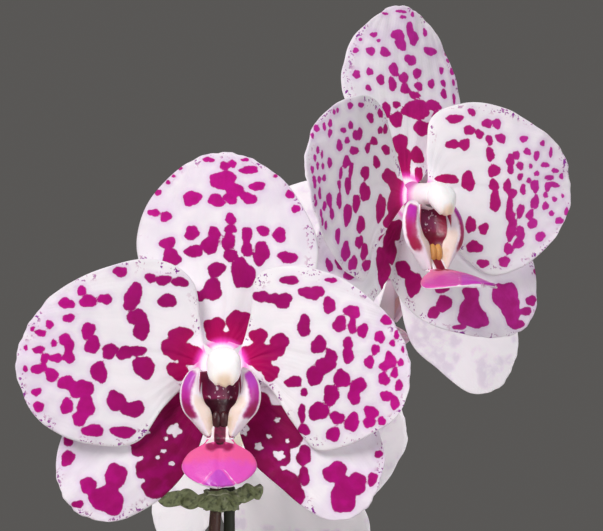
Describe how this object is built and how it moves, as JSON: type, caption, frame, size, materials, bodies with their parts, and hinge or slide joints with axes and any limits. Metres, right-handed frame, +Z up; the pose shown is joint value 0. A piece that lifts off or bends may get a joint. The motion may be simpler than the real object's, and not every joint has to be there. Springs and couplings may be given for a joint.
{
  "type": "potted moth orchid",
  "caption": "Potted moth orchid: a staked, arching flower spike of white blooms spotted magenta and crimson, over leathery leaves in a plain clay pot.",
  "frame": {"origin": "centre of the pot's flat underside, on the surface that it stands on", "axes": "+Z up along the pot's axis and the stake, -Y the side that the first bloom faces, +X to the right seen from there"},
  "size_m": [0.3814, 0.1561, 0.5516],
  "materials": {
    "terracotta": "plain fired clay, matt",
    "bark": "coarse orchid bark chips, dry and matt",
    "crown_green": "leaf sheaths, yellow green with brown edges",
    "leaf_green": "thick leathery leaf, satin",
    "root_silver": "spongy silver root skin with a green tip",
    "stake_green": "coated wire stake, dark green satin",
    "spike_purple": "purple brown stem, satin",
    "tie_green": "crinkled green film tie, satin",
    "pedicel_mauve": "pale mauve green stalk, satin",
    "tepal_spotted": "white petal with magenta and crimson spots, waxy satin",
    "lip_magenta": "magenta lip with a pale edge and crimson throat, waxy",
    "column_white": "white waxy column with a buff cap",
    "bud_mauve": "closed bud, pale mauve with faint spots"
  },
  "bodies": {
    "root": {"pot": "terracotta", "bark_medium": "bark", "crown": "crown_green", "leaf_1": "leaf_green", "leaf_2": "leaf_green", "leaf_3": "leaf_green", "leaf_4": "leaf_green", "leaf_5": "leaf_green", "root_1": "root_silver", "root_2": "root_silver", "root_3": "root_silver", "root_4": "root_silver", "root_5": "root_silver", "stake": "stake_green", "flower_spike": "spike_purple", "twist_tie": "tie_green", "bloom_a_dorsal_sepal": "tepal_spotted", "bloom_a_left_petal": "tepal_spotted", "bloom_a_right_petal": "tepal_spotted", "bloom_a_left_sepal": "tepal_spotted", "bloom_a_right_sepal": "tepal_spotted", "bloom_a_lip": "lip_magenta", "bloom_a_column": "column_white", "bloom_a_pedicel": "pedicel_mauve", "bloom_b_dorsal_sepal": "tepal_spotted", "bloom_b_left_petal": "tepal_spotted", "bloom_b_right_petal": "tepal_spotted", "bloom_b_left_sepal": "tepal_spotted", "bloom_b_right_sepal": "tepal_spotted", "bloom_b_lip": "lip_magenta", "bloom_b_column": "column_white", "bloom_b_pedicel": "pedicel_mauve", "bloom_c_dorsal_sepal": "tepal_spotted", "bloom_c_left_petal": "tepal_spotted", "bloom_c_right_petal": "tepal_spotted", "bloom_c_left_sepal": "tepal_spotted", "bloom_c_right_sepal": "tepal_spotted", "bloom_c_lip": "lip_magenta", "bloom_c_column": "column_white", "bloom_c_pedicel": "pedicel_mauve", "bloom_d_dorsal_sepal": "tepal_spotted", "bloom_d_left_petal": "tepal_spotted", "bloom_d_right_petal": "tepal_spotted", "bloom_d_left_sepal": "tepal_spotted", "bloom_d_right_sepal": "tepal_spotted", "bloom_d_lip": "lip_magenta", "bloom_d_column": "column_white", "bloom_d_pedicel": "pedicel_mauve", "bud_1": "bud_mauve", "bud_2": "bud_mauve"}
  },
  "joints": []
}
